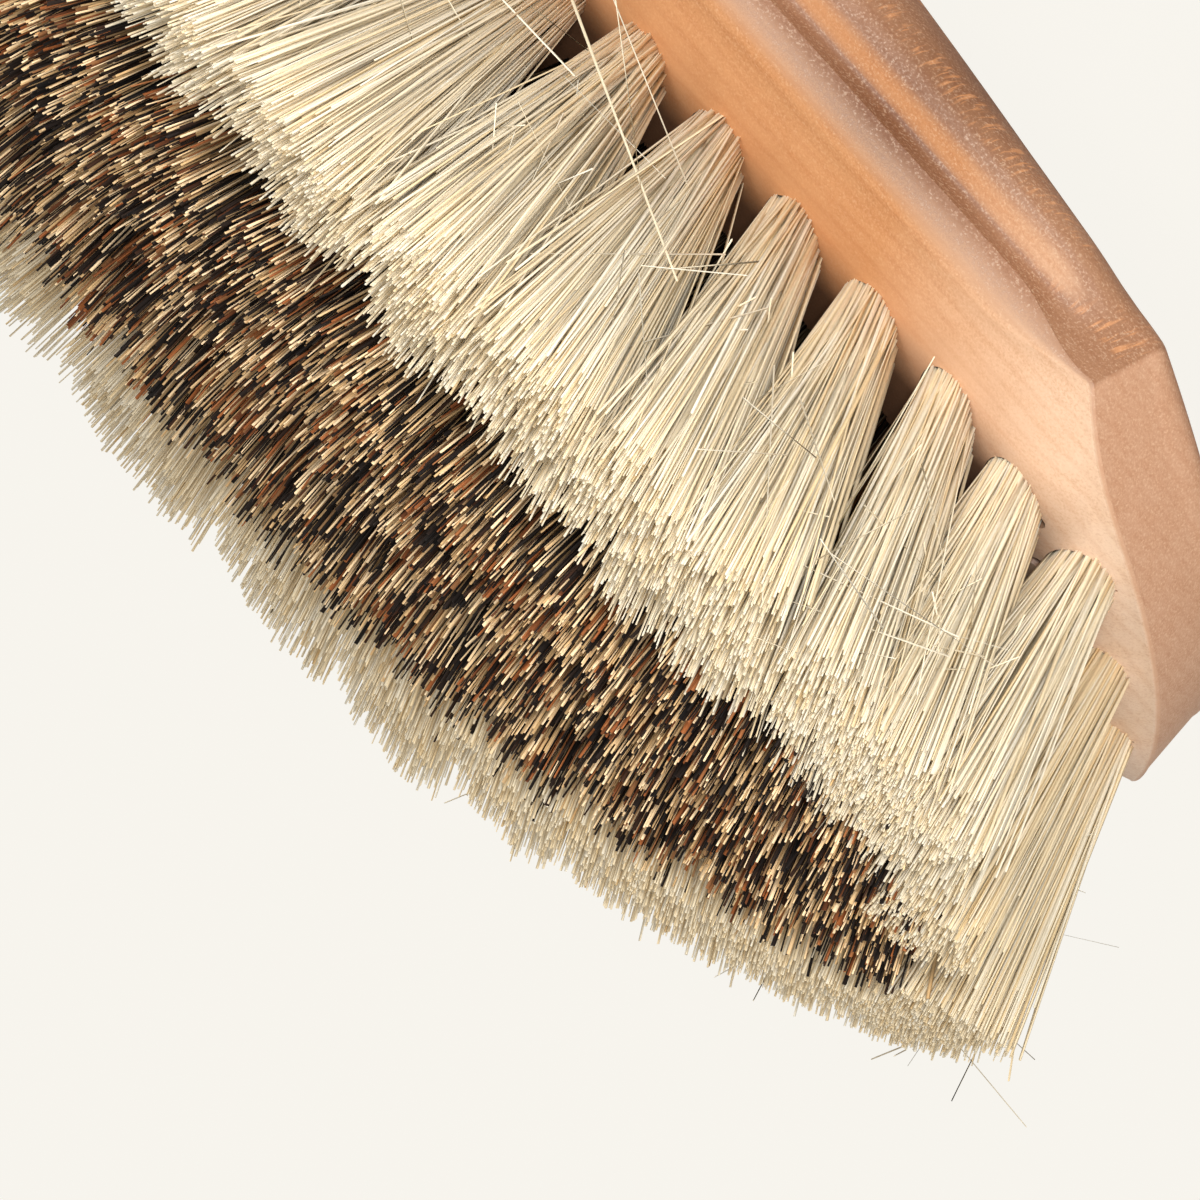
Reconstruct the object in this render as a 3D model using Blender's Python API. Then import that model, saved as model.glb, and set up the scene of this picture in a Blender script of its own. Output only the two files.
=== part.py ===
"""A wooden dandy brush: a one-piece grooved block, a drilled tuft of pale fibre in each rim hole, and three darker rows.

The brush lies on its back. X runs along it, Y across it, and the bristles stand up along Z from the flat back at zero.
"""

import math

import bmesh
import bpy
from mathutils import Matrix, Vector

MM = 0.001

# Block, measured at the lip round its bristle face
BLOCK_LENGTH = 205.0 * MM
BLOCK_WIDTH = 56.0 * MM
BLOCK_THICKNESS = 26.6 * MM
END_BULGE = 10.6 * MM
CORNER_ROUND = 1.2 * MM
CROWN_DROP = 9.8 * MM
END_ROLL = 19.7 * MM
END_DROP = 7.3 * MM
FACE_BLEND_POWER = 4
BACK_INSET = 13.0 * MM
END_BACK_INSET = 5.0 * MM
BACK_LEVEL_LENGTH = 60.0 * MM
BACK_RISE = 9.7 * MM
BACK_RISE_POWER = 1.25
BELLY_BULGE = 0.8 * MM
END_TAPER = math.radians(17.0)
LIP_ROUND = 1.6 * MM
ARRIS_ROUND = 0.3 * MM

# Finger groove under the lip of each long side
GROOVE_DROP = 3.1 * MM
GROOVE_HEIGHT = 5.2 * MM
GROOVE_DEPTH = 1.3 * MM
GROOVE_FADE = 14.0 * MM

# Holes and their tufts
TUFTS_PER_SIDE = 15
RIM_MARGIN = 11.0 * MM
LAST_TUFT_MARGIN = 23.05 * MM
END_TUFT_MARGIN = 4.9 * MM
HOLE_RADIUS = 3.05 * MM
HOLE_DEPTH = 10.0 * MM
HOLE_TILT_SHARE = 0.6
CLEARANCE = 0.3 * MM
PLUG_PROUD = 0.4 * MM

# Rows in the middle, each rooted in a slice of its own
SLICE_WIDTH = 4.2 * MM
SLICE_DEPTH = 5.0 * MM
ROW_TUFT_LENGTH = 4.8 * MM
SIDE_ROW_SHARE = 0.47
SIDE_ROW_END_SHARE = 0.2
MIDDLE_ROW_END_SHARE = 0.45

# Bristles
BRISTLE_HEIGHT = 34.4 * MM
TRIM_LEVEL_LENGTH = 60.0 * MM
TRIM_REACH = 89.0 * MM
TRIM_DROP = 15.5 * MM
TRIM_RIM_SHARE = 0.8
RIM_END_LEAN = math.radians(40.0)
RIM_END_LEAN_REACH = 22.0 * MM
RIM_SIDE_LEAN = math.radians(35.0)
RIM_SIDE_LEAN_REACH = 100.0 * MM
ROW_UPRIGHT_LENGTH = 40.0 * MM
ROW_END_LEAN = math.radians(43.0)
ROW_SIDE_LEAN = math.radians(20.0)
ROW_SIDE_LEAN_REACH = 100.0 * MM
STRAND_GAP = 0.45 * MM

# How far a tuft opens from its root to its tip, along and across the brush
RIM_SPREAD_SHARES = (2.9, 3.7)
ROW_SPREAD_SHARES = (2.7, 4.6)
RIM_END_CLOSE_SHARE = 0.2
ROW_END_CLOSE_SHARE = 0.4
HALFWAY_SPREAD_SHARE = 0.4
HALFWAY_HEIGHT_SHARE = 0.5
TIP_WIDTH_SHARE = 0.7

# Places round each end, as shares of the way from the last side hole to the end hole, and of the rim row's offset
END_PLACE_SHARES = ((0.53, -0.91), (0.94, -0.65), (1.0, 0.0), (0.94, 0.65), (0.53, 0.91))

# Shape shares of the block
ROUND_FACE_SHARE = 0.8
ROUND_EDGE_SHARES = (0.2, 0.15)
GROOVE_SHARES = ((0.15, 0.5), (0.0, 1.0), (-0.5, 0.5))
BELLY_LEVEL_SHARE = 0.75
BELLY_START_SHARE = 0.3
FACE_RING_SHARES = (0.8, 0.6, 0.4, 0.2, 0.0)
FACE_PULL_SHARE = 0.2

# Facets
SIDE_STEPS = 14
CORNER_STEPS = 3
END_STEPS = 10
BACK_STEPS = 4
HOLE_SIDES = 12
PLUG_SIDES = 5

# Rounds that settle a leaning tuft's tip on the trim
TRIM_ROUNDS = 12

HALF_LENGTH = BLOCK_LENGTH / 2
HALF_WIDTH = BLOCK_WIDTH / 2
RIM_ROW = HALF_WIDTH - RIM_MARGIN
LAST_TUFT = HALF_LENGTH - LAST_TUFT_MARGIN
END_TUFT = HALF_LENGTH - END_TUFT_MARGIN
PITCH = 2 * LAST_TUFT / (TUFTS_PER_SIDE - 1)
PLUG_RADIUS = HOLE_RADIUS * math.cos(math.pi / HOLE_SIDES) - CLEARANCE
OVERRUN = 2 * HOLE_RADIUS


def radius_over(half_chord, rise):
    """Radius of the arc that rises this much over this half chord."""
    return (half_chord**2 + rise**2) / (2 * rise)


CROWN_RADIUS = radius_over(HALF_WIDTH, CROWN_DROP)
ROLL_RADIUS = radius_over(END_ROLL, END_DROP)
END_RADIUS = radius_over(HALF_WIDTH, END_BULGE)
END_CENTRE = HALF_LENGTH - END_RADIUS


def smooth(share):
    share = min(1, max(0, share))
    return share * share * (3 - 2 * share)


def face_height(x, y):
    """Height of the bristle face, crowned across and rolled over towards the curved edge of each end."""
    past = max(0, math.hypot(max(0, abs(x) - END_CENTRE), y) - (END_RADIUS - END_ROLL))
    across = CROWN_RADIUS - math.sqrt(CROWN_RADIUS**2 - y**2)
    along = ROLL_RADIUS - math.sqrt(ROLL_RADIUS**2 - past**2)
    return BLOCK_THICKNESS - (across**FACE_BLEND_POWER + along**FACE_BLEND_POWER) ** (1 / FACE_BLEND_POWER)


def back_height(x):
    """Height of the back, level in the middle and rising towards both ends."""
    past = max(0, abs(x) - BACK_LEVEL_LENGTH / 2) / (HALF_LENGTH - BACK_LEVEL_LENGTH / 2)
    return BACK_RISE * past**BACK_RISE_POWER


def outline_stations():
    """Stations round the outline: one from 0 at mid side over 1 and 2 at the corner to 3 at the end, and its mirror."""
    quarter = [2 * step / SIDE_STEPS for step in range(SIDE_STEPS // 2)]
    quarter += [1 + step / CORNER_STEPS for step in range(CORNER_STEPS)]
    quarter += [2 + 2 * step / END_STEPS for step in range(END_STEPS // 2 + 1)]
    right = [(station, (1, 1)) for station in quarter]
    right += [(station, (1, -1)) for station in reversed(quarter[:-1])]
    return right + [(station, (-1, across)) for station, (_, across) in reversed(right[1:-1])]


def outline_place(station, mirror, inset):
    """Place of a station on the outline when this is drawn in by the inset, its corners keeping their round."""
    half = HALF_WIDTH - inset - CORNER_ROUND
    radius = END_RADIUS - inset
    centre = END_CENTRE + math.sqrt((radius - CORNER_ROUND) ** 2 - half**2)
    turn = math.atan2(half, centre - END_CENTRE)
    if station < 1:
        x = centre * math.sin(math.pi / 2 * station)
        y = -half - CORNER_ROUND
    elif station < 2:
        angle = math.pi / 2 + (turn - math.pi / 2) * (station - 1)
        x = centre + CORNER_ROUND * math.cos(angle)
        y = -half - CORNER_ROUND * math.sin(angle)
    else:
        angle = turn * (3 - station)
        x = END_CENTRE + radius * math.cos(angle)
        y = -radius * math.sin(angle)
    return mirror[0] * x, mirror[1] * y


def groove_share(station):
    """Full groove along the side, fading out before the corner."""
    return smooth((1 - math.sin(math.pi / 2 * min(station, 1))) * HALF_LENGTH / GROOVE_FADE)


def wall_levels(lip, base, groove):
    """Height and inset of the wall at each level below a point of the lip, down to the edge of the back."""
    foot = lip - GROOVE_DROP - GROOVE_HEIGHT / 2
    belly = base + BELLY_LEVEL_SHARE * (foot - base)
    levels = []
    for height, depth in GROOVE_SHARES:
        levels.append((lip - GROOVE_DROP + height * GROOVE_HEIGHT, depth * GROOVE_DEPTH))
    levels.append((foot, -BELLY_START_SHARE * BELLY_BULGE))
    for step in range(BACK_STEPS + 1):
        turn = math.pi / 2 * step / BACK_STEPS
        inset = (1 - math.cos(turn)) * (BACK_INSET + BELLY_BULGE) - BELLY_BULGE
        levels.append((base + (belly - base) * (1 - math.sin(turn)), inset))
    slope = math.tan(END_TAPER)
    plain = []
    for height, _ in levels:
        turn = math.asin(min(1, max(0, (belly - height) / (belly - base))))
        start = (lip - max(height, belly)) * slope
        plain.append(start + (1 - math.cos(turn)) * (END_BACK_INSET - start))
    return [(height, groove * inset + (1 - groove) * end) for (height, inset), end in zip(levels, plain)]


def block_rings():
    """Rings of points from the ridge line of the face to the lip, down the walls and in to the middle of the back."""
    lines = []
    for station, mirror in outline_stations():
        groove = groove_share(station)
        edge = ARRIS_ROUND + groove * (LIP_ROUND - ARRIS_ROUND)
        inner = outline_place(station, mirror, ROUND_FACE_SHARE * edge)
        line = []
        for share in reversed(FACE_RING_SHARES):
            shrink = 1 - (1 - share) * FACE_PULL_SHARE
            line.append(on_face(inner[0] * shrink, inner[1] * share))
        line.append(on_face(*inner))
        lip = face_height(*outline_place(station, mirror, 0))
        for inset, drop in (ROUND_EDGE_SHARES, (0, 1)):
            line.append(Vector((*outline_place(station, mirror, inset * edge), lip - drop * edge)))
        reach = END_BACK_INSET + groove * (BACK_INSET - END_BACK_INSET)
        base = back_height(outline_place(station, mirror, reach)[0])
        for height, inset in wall_levels(lip, base, groove):
            line.append(Vector((*outline_place(station, mirror, inset), height)))
        line.append(Vector((line[-1].x * (1 - FACE_PULL_SHARE), 0, back_height(line[-1].x))))
        lines.append(line)
    return [list(ring) for ring in zip(*lines)]


def on_face(x, y):
    return Vector((x, y, face_height(x, y)))


def rim_lean(x, y):
    """How far a rim tuft rooted here runs along and across the brush for each unit that it rises."""
    along = math.tan(RIM_END_LEAN * (1 - math.exp(-abs(x) / RIM_END_LEAN_REACH)))
    across = math.tan(RIM_SIDE_LEAN) * (1 - smooth(abs(x) / RIM_SIDE_LEAN_REACH)) * abs(y) / RIM_ROW
    return math.copysign(along, x), math.copysign(across, y)


def row_lean(x, row):
    """The same for a tuft of a row in the middle, which stands more upright."""
    share = max(0, abs(x) - ROW_UPRIGHT_LENGTH / 2) / (HALF_LENGTH - ROW_UPRIGHT_LENGTH / 2)
    across = math.tan(ROW_SIDE_LEAN) * (1 - smooth(abs(x) / ROW_SIDE_LEAN_REACH))
    return math.copysign(math.tan(ROW_END_LEAN * share), x), across * row


def trim_height(x, y):
    """Height that the bristles are trimmed to, falling away towards the ends and most at their rims."""
    past = max(0, abs(x) - TRIM_LEVEL_LENGTH / 2) / TRIM_REACH
    rim = 1 + TRIM_RIM_SHARE * (y / (2 * RIM_ROW)) ** 2
    return BLOCK_THICKNESS + BRISTLE_HEIGHT - TRIM_DROP * past**3 * rim


def tuft_tip(root, slopes):
    """Where the middle of a tuft meets the trim."""
    rise = BRISTLE_HEIGHT
    for _ in range(TRIM_ROUNDS):
        rise = trim_height(root.x + slopes[0] * rise, root.y + slopes[1] * rise) - root.z
    return root + rise * Vector((slopes[0], slopes[1], 1))


def material(name, colour, roughness):
    made = bpy.data.materials.new(name)
    made.use_nodes = True
    shader = made.node_tree.nodes["Principled BSDF"]
    shader.inputs["Base Color"].default_value = (*colour, 1)
    shader.inputs["Roughness"].default_value = roughness
    shader.inputs["Metallic"].default_value = 0
    return made


def place_object(name, mesh, finish, origin, holder):
    """A named object whose mesh is moved so that its origin lies at the given point."""
    mesh.transform(Matrix.Translation(-origin))
    made = bpy.data.objects.new(name, mesh)
    bpy.context.scene.collection.objects.link(made)
    made.location = origin
    made.parent = holder
    if finish:
        mesh.materials.append(finish)
    return made


def mesh_from(shape, name):
    bmesh.ops.recalc_face_normals(shape, faces=shape.faces)
    mesh = bpy.data.meshes.new(name)
    shape.to_mesh(mesh)
    shape.free()
    return mesh


def block_mesh():
    """Walls bridged ring by ring, with the two sides of the face and of the back merged along their middle lines."""
    shape = bmesh.new()
    rings = [[shape.verts.new(point) for point in ring] for ring in block_rings()]
    for upper, lower in zip(rings, rings[1:]):
        for here in range(len(upper)):
            after = (here + 1) % len(upper)
            shape.faces.new((upper[here], upper[after], lower[after], lower[here]))
    bmesh.ops.remove_doubles(shape, verts=shape.verts, dist=ARRIS_ROUND / 100)
    return mesh_from(shape, "block")


def hole_frame(root, slopes):
    """A frame at the root whose Z axis runs up the tilted hole and whose X axis stays in line with the brush."""
    up = Vector((HOLE_TILT_SHARE * slopes[0], HOLE_TILT_SHARE * slopes[1], 1)).normalized()
    across = up.cross(Vector((1, 0, 0))).normalized()
    along = across.cross(up)
    turn = Matrix((along, across, up)).transposed()
    return Matrix.Translation(root) @ turn.to_4x4()


def add_prism(shape, sides, radius, low, high, frame):
    """A closed prism along the frame's Z axis. Returns its faces."""
    middle = Matrix.Translation((0, 0, (low + high) / 2))
    made = bmesh.ops.create_cone(
        shape,
        cap_ends=True,
        segments=sides,
        radius1=radius,
        radius2=radius,
        depth=high - low,
        matrix=frame @ middle,
    )
    return list({face for vert in made["verts"] for face in vert.link_faces})


def grow_strands(shape, cells, place_at, levels):
    """Each cell narrowed and drawn out through the levels, so that no two strands touch."""
    bmesh.ops.inset_individual(shape, faces=cells, thickness=STRAND_GAP / 2)
    roots = {face: face.calc_center_median() for face in cells}
    for level, width in levels:
        grown = bmesh.ops.extrude_discrete_faces(shape, faces=list(roots))["faces"]
        following = {}
        for face, root in zip(grown, roots.values()):
            middle = face.calc_center_median()
            target = place_at(root, level)
            for vert in face.verts:
                vert.co = target + (vert.co - middle) * width
            following[face] = root
        roots = following


def tuft_mesh(name, root, slopes):
    """A plug for the hole, whose top opens into one strand for each of its sides."""
    frame = hole_frame(root, slopes)
    low = CLEARANCE - HOLE_DEPTH
    tip = tuft_tip(root, slopes)
    shape = bmesh.new()
    faces = add_prism(shape, PLUG_SIDES, PLUG_RADIUS, low, PLUG_PROUD, frame)
    top = max(faces, key=lambda face: face.calc_center_median().z)
    cells = bmesh.ops.poke(shape, faces=[top])["faces"]

    closed = 1 - RIM_END_CLOSE_SHARE * abs(root.x) / HALF_LENGTH

    def place_at(cell, level):
        offset = cell - root
        opened = Vector((RIM_SPREAD_SHARES[0] * closed * offset.x, RIM_SPREAD_SHARES[1] * closed * offset.y))
        if level < 1:
            spread = HALFWAY_SPREAD_SHARE
            way = root.lerp(tip, level)
            return Vector((
                way.x + offset.x + spread * (opened.x - offset.x),
                way.y + offset.y + spread * (opened.y - offset.y),
                way.z,
            ))
        x, y = tip.x + opened.x, tip.y + opened.y
        return Vector((x, y, trim_height(x, y)))

    grow_strands(shape, cells, place_at, ((HALFWAY_HEIGHT_SHARE, 1), (1, TIP_WIDTH_SHARE)))
    return mesh_from(shape, name)


def row_places(row):
    """Places of the tufts of a row in the middle. The outer two are staggered against the rim rows."""
    across = SIDE_ROW_SHARE * RIM_ROW * row
    share, count = SIDE_ROW_END_SHARE, TUFTS_PER_SIDE + 1
    if row == 0:
        share, count = MIDDLE_ROW_END_SHARE, TUFTS_PER_SIDE + 2
    reach = LAST_TUFT + share * (END_TUFT - LAST_TUFT)
    return [(reach * (2 * number / (count - 1) - 1), across) for number in range(count)]


def row_slice(row, margin):
    """Lowest and highest corner of a row's slice, or with a margin of its slot."""
    places = row_places(row)
    reach = places[-1][0] + ROW_TUFT_LENGTH / 2 + margin
    half = SLICE_WIDTH / 2 + margin
    across = places[0][1]
    floor = face_height(0, across) - SLICE_DEPTH - margin
    return Vector((-reach, across - half, floor)), Vector((reach, across + half, floor))


def row_mesh(name, row):
    """A slice of backing whose top follows the face, with four strands grown from each tuft's place."""
    low, high = row_slice(row, 0)
    places = row_places(row)
    half = ROW_TUFT_LENGTH / 2
    lines = sorted(x + side * half for x, _ in places for side in (-1, 0, 1))
    shape = bmesh.new()
    across = (low.y, (low.y + high.y) / 2, high.y)
    grid = [[shape.verts.new(on_face(x, y)) for y in across] for x in lines]
    cells = []
    for number, (left, right) in enumerate(zip(grid, grid[1:])):
        for side in range(2):
            face = shape.faces.new((left[side], right[side], right[side + 1], left[side + 1]))
            if number % 3 < 2:
                cells.append(face)
    rim = [line[0] for line in grid] + grid[-1][1:]
    rim += [line[-1] for line in reversed(grid[:-1])] + [grid[0][1]]
    foot = [shape.verts.new((vert.co.x, vert.co.y, low.z)) for vert in rim]
    for here in range(len(rim)):
        after = (here + 1) % len(rim)
        shape.faces.new((rim[here], foot[here], foot[after], rim[after]))
    shape.faces.new(foot)
    bmesh.ops.recalc_face_normals(shape, faces=shape.faces)

    def place_at(cell, _):
        x = min(places, key=lambda place: abs(place[0] - cell.x))[0]
        y = places[0][1]
        root = on_face(x, y)
        tip = tuft_tip(root, row_lean(x, row))
        tip_x = tip.x + ROW_SPREAD_SHARES[0] * (cell.x - x)
        closed = 1 - ROW_END_CLOSE_SHARE * abs(x) / HALF_LENGTH
        tip_y = tip.y + ROW_SPREAD_SHARES[1] * closed * (cell.y - y)
        return Vector((tip_x, tip_y, trim_height(tip_x, tip_y)))

    grow_strands(shape, cells, place_at, ((1, TIP_WIDTH_SHARE),))
    return mesh_from(shape, name)


def rim_places():
    """Name and place of each tuft round the rim."""
    places = []
    for side, across in (("near", -RIM_ROW), ("far", RIM_ROW)):
        for number in range(TUFTS_PER_SIDE):
            places.append((f"{side}_tuft_{number + 1:02d}", number * PITCH - LAST_TUFT, across))
    for side, way in (("left", -1), ("right", 1)):
        for number, (along, across) in enumerate(END_PLACE_SHARES):
            x = way * (LAST_TUFT + along * (END_TUFT - LAST_TUFT))
            places.append((f"{side}_end_tuft_{number + 1}", x, across * RIM_ROW))
    return places


def cutter_mesh():
    """One drilled hole for each rim tuft and one slot for each slice."""
    shape = bmesh.new()
    for _, x, y in rim_places():
        frame = hole_frame(on_face(x, y), rim_lean(x, y))
        add_prism(shape, HOLE_SIDES, HOLE_RADIUS, -HOLE_DEPTH, OVERRUN, frame)
    for row in (-1, 0, 1):
        low, high = row_slice(row, CLEARANCE)
        high.z = BLOCK_THICKNESS + OVERRUN
        size = high - low
        box = Matrix.Translation((low + high) / 2) @ Matrix.Diagonal((*size, 1))
        bmesh.ops.create_cube(shape, size=1, matrix=box)
    return mesh_from(shape, "drilling")


def build():
    for old in list(bpy.data.objects):
        bpy.data.objects.remove(old)
    wood = material("beech", (0.72, 0.42, 0.22), 0.5)
    pale = material("pale_fibre", (0.86, 0.79, 0.62), 0.6)
    dark = material("brown_fibre", (0.27, 0.15, 0.08), 0.6)
    holder = bpy.data.objects.new("dandy_brush", None)
    bpy.context.scene.collection.objects.link(holder)

    block = place_object("block", block_mesh(), wood, Vector(), holder)
    drilling = place_object("drilling", cutter_mesh(), None, Vector(), holder)
    drilling.hide_render = True
    drilling.display_type = "WIRE"
    drilled = block.modifiers.new("drilled holes", "BOOLEAN")
    drilled.operation = "DIFFERENCE"
    drilled.object = drilling

    for name, x, y in rim_places():
        root = on_face(x, y)
        place_object(name, tuft_mesh(name, root, rim_lean(x, y)), pale, root, holder)
    for name, row in (("centre_row_near", -1), ("centre_row_middle", 0), ("centre_row_far", 1)):
        middle = on_face(0, row_places(row)[0][1])
        place_object(name, row_mesh(name, row), dark, middle, holder)


build()
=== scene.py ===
"""A wooden dandy brush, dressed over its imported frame: a smooth drilled block, bundles of pale fibre round the rim,
bundles of brown fibre in the middle, loose hairs, and a plain pale studio.

The brush lies on its back. X runs along it, Y across it, and the bristles stand up along Z.
"""

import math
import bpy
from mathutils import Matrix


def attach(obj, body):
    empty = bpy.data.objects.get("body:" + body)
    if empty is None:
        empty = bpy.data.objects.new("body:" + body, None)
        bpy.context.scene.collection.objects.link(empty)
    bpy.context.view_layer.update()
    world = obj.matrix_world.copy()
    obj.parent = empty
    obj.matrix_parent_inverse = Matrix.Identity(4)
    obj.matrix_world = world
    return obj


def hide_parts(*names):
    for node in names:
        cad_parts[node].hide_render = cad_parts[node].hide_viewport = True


bl_info = {
    "name": "Dandy brush",
    "version": (1, 0, 0),
    "blender": (4, 5, 0),
    "location": "3D View > Sidebar > Dandy brush",
    "description": "Models a wooden dandy brush with its tufts, finishes and studio",
    "category": "Add Mesh",
}

import bmesh
import bpy
import numpy as np
from bpy.props import FloatProperty, FloatVectorProperty, IntProperty, PointerProperty
from mathutils import Matrix, Vector

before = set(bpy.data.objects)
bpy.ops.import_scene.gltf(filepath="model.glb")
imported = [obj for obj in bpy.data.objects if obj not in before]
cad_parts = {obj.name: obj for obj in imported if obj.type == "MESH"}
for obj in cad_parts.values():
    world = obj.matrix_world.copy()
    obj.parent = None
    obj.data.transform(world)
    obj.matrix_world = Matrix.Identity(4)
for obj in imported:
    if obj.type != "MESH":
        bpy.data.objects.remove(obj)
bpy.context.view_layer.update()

MM = 0.001
NEAR, MIDDLE, FAR = -1, 0, 1

# Shares of the rim tufts' full lean at some distances from mid brush: towards the ends, and to the near and far side
END_LEANS = np.array((0, 11, 23, 34, 45, 57, 79, 89, 98)) * MM, (0, 0.35, 0.62, 0.8, 0.9, 0.94, 0.94, 0.78, 0.61)
NEAR_LEANS = np.array((0, 23, 34, 45, 57, 68, 79, 89)) * MM, (1, 0.95, 0.86, 0.78, 0.55, 0.36, 0.14, 0.02)
FAR_LEANS = np.array((0, 23, 34, 45, 60, 75, 98)) * MM, (1, 0.8, 0.55, 0.42, 0.34, 0.31, 0.42)


class BlockSizes(bpy.types.PropertyGroup):
    """Sizes of the wooden block, in metres."""

    length: FloatProperty(name="Length", description="Length over both ends", default=205 * MM, unit="LENGTH")
    width: FloatProperty(name="Width", description="Width at the lip", default=56 * MM, unit="LENGTH")
    thickness: FloatProperty(name="Thickness", description="Height of the face's crown", default=26.6 * MM, unit="LENGTH")
    end_bulge: FloatProperty(name="End bulge", description="How far an end stands out in the middle", default=10.6 * MM, unit="LENGTH")
    corner_round: FloatProperty(name="Corner round", description="Radius of a corner from above", default=1.2 * MM, unit="LENGTH")
    crown_drop: FloatProperty(name="Crown drop", description="How far the lip lies below the crown", default=9.8 * MM, unit="LENGTH")
    end_roll: FloatProperty(name="End roll", description="Length over which the face rolls over at an end", default=19.7 * MM, unit="LENGTH")
    end_drop: FloatProperty(name="End drop", description="How far the end's lip lies below the crown", default=7.3 * MM, unit="LENGTH")
    back_inset: FloatProperty(name="Back inset", description="Inset of the back from the side's lip", default=13 * MM, unit="LENGTH")
    end_back_inset: FloatProperty(name="End back inset", description="Inset of the back from the end's lip", default=5 * MM, unit="LENGTH")
    back_level: FloatProperty(name="Level back", description="Length of the level part of the back", default=60 * MM, unit="LENGTH")
    back_rise: FloatProperty(name="Back rise", description="Rise of the back from its level part to an end", default=9.7 * MM, unit="LENGTH")
    belly: FloatProperty(name="Belly", description="How far the belly stands out past the lip", default=0.8 * MM, unit="LENGTH")
    end_taper: FloatProperty(name="End taper", description="Slope of the end walls", default=math.radians(17), subtype="ANGLE")
    lip_round: FloatProperty(name="Lip round", description="Radius of the lip over the finger groove", default=2.3 * MM, unit="LENGTH")
    arris_round: FloatProperty(name="Arris round", description="Radius of the sharper edge at an end", default=0.3 * MM, unit="LENGTH")
    groove_drop: FloatProperty(name="Groove drop", description="Depth of the groove's middle under the lip", default=3.1 * MM, unit="LENGTH")
    groove_height: FloatProperty(name="Groove height", description="Height of the finger groove", default=5.2 * MM, unit="LENGTH")
    groove_depth: FloatProperty(name="Groove depth", description="How far the groove is cut in", default=1.3 * MM, unit="LENGTH")
    groove_fade: FloatProperty(name="Groove fade", description="Length over which the groove runs out", default=14 * MM, unit="LENGTH")
    hole_radius: FloatProperty(name="Hole radius", description="Radius of a drilled tuft hole", default=3.05 * MM, unit="LENGTH")
    hole_depth: FloatProperty(name="Hole depth", description="Depth of a drilled tuft hole", default=7 * MM, unit="LENGTH")


class BristleSizes(bpy.types.PropertyGroup):
    """Sizes and counts of the bristles."""

    height: FloatProperty(name="Height", description="Free height over the crown in mid brush", default=34.4 * MM, unit="LENGTH")
    trim_level: FloatProperty(name="Level trim", description="Length over which the trim is level", default=60 * MM, unit="LENGTH")
    trim_reach: FloatProperty(name="Trim reach", description="Distance over which the trim falls away", default=89 * MM, unit="LENGTH")
    trim_drop: FloatProperty(name="Trim drop", description="How far the trim falls over that distance", default=15.5 * MM, unit="LENGTH")
    rim_end_lean: FloatProperty(name="Rim end lean", description="How far the last rim tufts run to the end for each unit of rise", default=0.84)
    rim_side_lean: FloatProperty(name="Rim side lean", description="How far the rim tufts in mid brush run to their side for each unit of rise", default=0.68)
    row_end_lean: FloatProperty(name="Row end lean", description="Lean of the middle rows at the ends", default=math.radians(46), subtype="ANGLE")
    row_side_lean: FloatProperty(name="Row side lean", description="Lean of the outer two middle rows", default=math.radians(15), subtype="ANGLE")
    pale_count: IntProperty(name="Pale fibres", description="Fibres in a rim tuft", default=800)
    brown_count: IntProperty(name="Brown fibres", description="Fibres in a middle tuft", default=560)
    pale_width: FloatProperty(name="Pale width", description="Mean width of a pale fibre", default=0.25 * MM, unit="LENGTH")
    brown_width: FloatProperty(name="Brown width", description="Mean width of a brown fibre", default=0.25 * MM, unit="LENGTH")


class BrushColours(bpy.types.PropertyGroup):
    """Main colours, as linear values."""

    wood: FloatVectorProperty(name="Wood", description="Waxed beech", subtype="COLOR", default=(0.6, 0.292, 0.13))
    wood_pale: FloatVectorProperty(name="Pale wood", description="Beech where it is rubbed", subtype="COLOR", default=(0.86, 0.64, 0.48))
    # The flank colour is about half as bright as the face's wood: painted shade on the groove and belly.
    shaded_flank: FloatVectorProperty(name="Flank", description="Beech of the groove and belly", subtype="COLOR", default=(0.296, 0.148, 0.078))
    end_wall: FloatVectorProperty(name="End wall", description="End grain", subtype="COLOR", default=(0.53, 0.305, 0.19))
    ivory: FloatVectorProperty(name="Ivory", description="Main pale fibre", subtype="COLOR", default=(0.99, 0.865, 0.64))
    straw: FloatVectorProperty(name="Straw", description="Yellower pale fibre", subtype="COLOR", default=(0.93, 0.72, 0.42))
    floor: FloatVectorProperty(name="Floor", description="Floor and backdrop", subtype="COLOR", default=(0.941, 0.916, 0.859))


class BrushSettings(bpy.types.PropertyGroup):
    """All settings of the brush."""

    block: PointerProperty(type=BlockSizes)
    bristles: PointerProperty(type=BristleSizes)
    colours: PointerProperty(type=BrushColours)


def settings():
    return bpy.context.scene.dandy_brush


# Shape of the block and of the trim


def smooth(share):
    share = min(1, max(0, share))
    return share * share * (3 - 2 * share)


def radius_over(half_chord, rise):
    """Radius of the arc that rises this much over this half chord."""
    return (half_chord**2 + rise**2) / (2 * rise)


def face_height(x, y):
    """Height of the bristle face, for numbers or arrays."""
    block = settings().block
    crown = radius_over(block.width / 2, block.crown_drop)
    roll = radius_over(block.end_roll, block.end_drop)
    radius = radius_over(block.width / 2, block.end_bulge)
    reach = np.hypot(np.maximum(np.abs(x) - block.length / 2 + radius, 0), y)
    past = np.clip(reach - radius + block.end_roll, 0, roll * 0.98)
    across = crown - np.sqrt(np.maximum(crown**2 - np.square(y), 0))
    along = roll - np.sqrt(roll**2 - past**2)
    return block.thickness - (across**4 + along**4) ** 0.25


def back_height(x):
    block = settings().block
    past = max(0, abs(x) - block.back_level / 2) / (block.length / 2 - block.back_level / 2)
    return block.back_rise * past**1.25


def end_share(x):
    """Share of the way from mid brush to an end of the block."""
    return abs(x) / (settings().block.length / 2)


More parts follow.
